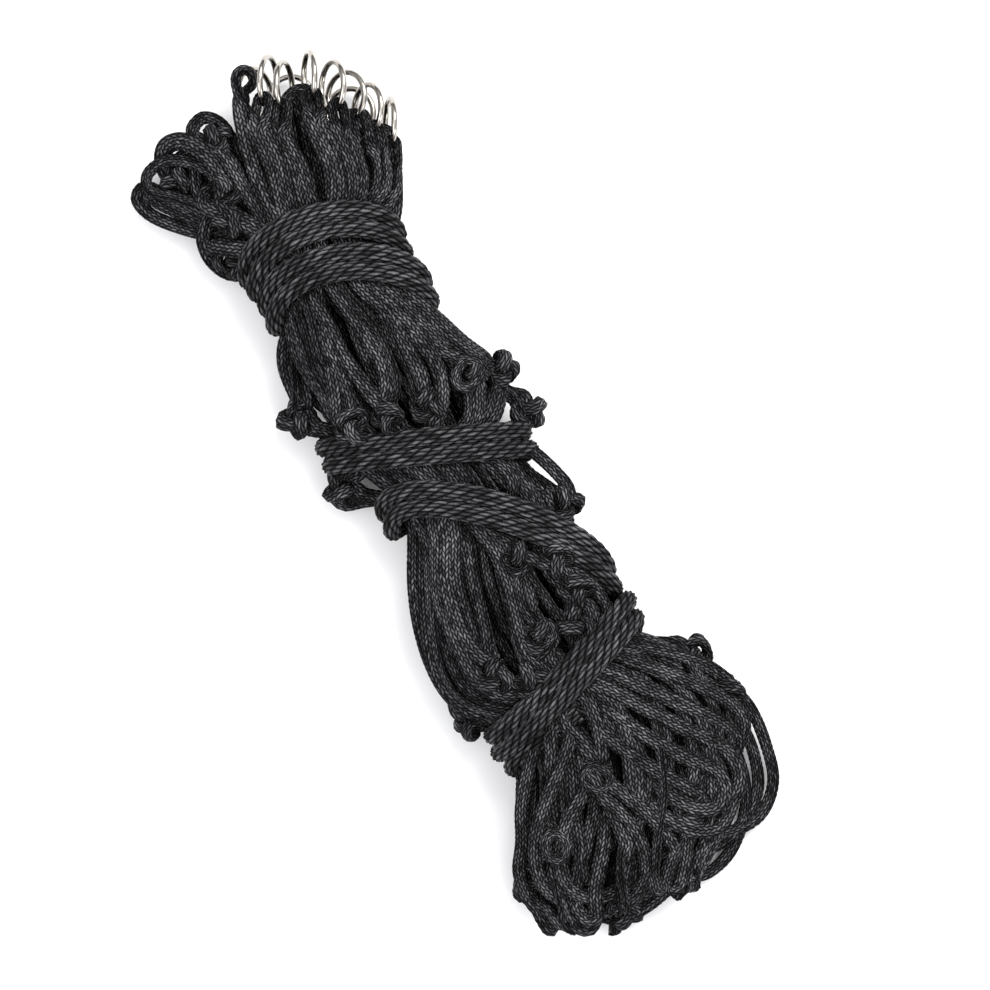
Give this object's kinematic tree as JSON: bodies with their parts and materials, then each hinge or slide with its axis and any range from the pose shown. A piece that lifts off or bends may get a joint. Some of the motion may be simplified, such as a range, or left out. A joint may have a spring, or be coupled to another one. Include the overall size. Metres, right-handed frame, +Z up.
{
  "type": "tied knotted net",
  "caption": "Knotted net of flat braided cord with steel mouth rings, folded into a hank and spiral-tied in its own doubled draw rope.",
  "frame": {"origin": "middle of the hank's box, on the surface that it lies on", "axes": "+Z up from that surface, +Y along the hank to the mouth rings, +X to the right seen from above with the rings at the top"},
  "size_m": [0.1793, 0.425, 0.0545],
  "materials": {
    "net_cord": "satin flat braid, slightly fuzzy",
    "draw_rope": "satin round solid braid",
    "ring_steel": "polished wire"
  },
  "bodies": {
    "net": {"head_bundle": "net_cord", "fold_bundle": "net_cord", "upper_bundle": "net_cord", "waist_bundle": "net_cord", "lower_bundle": "net_cord", "tail_bundle": "net_cord", "knots_upper": "net_cord", "knots_waist": "net_cord", "knots_lower": "net_cord", "knots_tail": "net_cord", "fold_loop_low": "net_cord", "fold_loop_high": "net_cord", "curl_loop": "net_cord", "tail_side_loop": "net_cord", "tail_corner_loop": "net_cord", "draw_rope": "draw_rope", "base_ring": "ring_steel", "eye_1": "net_cord", "eye_2": "net_cord", "eye_3": "net_cord", "eye_4": "net_cord", "eye_5": "net_cord", "eye_6": "net_cord", "eye_7": "net_cord", "eye_8": "net_cord", "eye_9": "net_cord", "eye_10": "net_cord"},
    "mouth_ring_1": {"ring_1": "ring_steel"},
    "mouth_ring_2": {"ring_2": "ring_steel"},
    "mouth_ring_3": {"ring_3": "ring_steel"},
    "mouth_ring_4": {"ring_4": "ring_steel"},
    "mouth_ring_5": {"ring_5": "ring_steel"},
    "mouth_ring_6": {"ring_6": "ring_steel"},
    "mouth_ring_7": {"ring_7": "ring_steel"},
    "mouth_ring_8": {"ring_8": "ring_steel"},
    "mouth_ring_9": {"ring_9": "ring_steel"},
    "mouth_ring_10": {"ring_10": "ring_steel"}
  },
  "joints": [
    {"name": "ring_1_hinge", "type": "hinge", "parent": "net", "child": "mouth_ring_1", "pos_m": [-0.02553, 0.19099, 0.02217], "axis": [-0.4667, 0.4677, 0.7507], "range_deg": [-8, 8]},
    {"name": "ring_2_hinge", "type": "hinge", "parent": "net", "child": "mouth_ring_2", "pos_m": [-0.01713, 0.19258, 0.04038], "axis": [-0.0563, 0.4877, 0.8712], "range_deg": [-8, 6]},
    {"name": "ring_3_hinge", "type": "hinge", "parent": "net", "child": "mouth_ring_3", "pos_m": [-0.01053, 0.18724, 0.04038], "axis": [-0.0902, 0.4826, 0.8712], "range_deg": [-6, 7]},
    {"name": "ring_4_hinge", "type": "hinge", "parent": "net", "child": "mouth_ring_4", "pos_m": [0.00376, 0.18641, 0.04241], "axis": [0.365, 0.3169, 0.8754], "range_deg": [-9, 9]},
    {"name": "ring_5_hinge", "type": "hinge", "parent": "net", "child": "mouth_ring_5", "pos_m": [0.01239, 0.1781, 0.04199], "axis": [0.5657, 0.2272, 0.7927], "range_deg": [-12, 9]},
    {"name": "ring_6_hinge", "type": "hinge", "parent": "net", "child": "mouth_ring_6", "pos_m": [0.01682, 0.17254, 0.02637], "axis": [0.7956, 0.0475, 0.604], "range_deg": [-5, 9]},
    {"name": "ring_7_hinge", "type": "hinge", "parent": "net", "child": "mouth_ring_7", "pos_m": [0.02376, 0.16395, 0.02974], "axis": [0.6403, 0.1971, 0.7424], "range_deg": [-12, 4]},
    {"name": "ring_8_hinge", "type": "hinge", "parent": "net", "child": "mouth_ring_8", "pos_m": [0.02891, 0.15531, 0.02361], "axis": [0.3093, 0.2439, 0.9192], "range_deg": [-35, 6]},
    {"name": "ring_9_hinge", "type": "hinge", "parent": "net", "child": "mouth_ring_9", "pos_m": [-0.00882, 0.18159, 0.00824], "axis": [0.934, -0.2472, 0.2578], "range_deg": [-10, 6]},
    {"name": "ring_10_hinge", "type": "hinge", "parent": "net", "child": "mouth_ring_10", "pos_m": [0.01346, 0.16681, 0.00824], "axis": [0.9145, -0.3118, 0.2578], "range_deg": [-10, 6]}
  ]
}
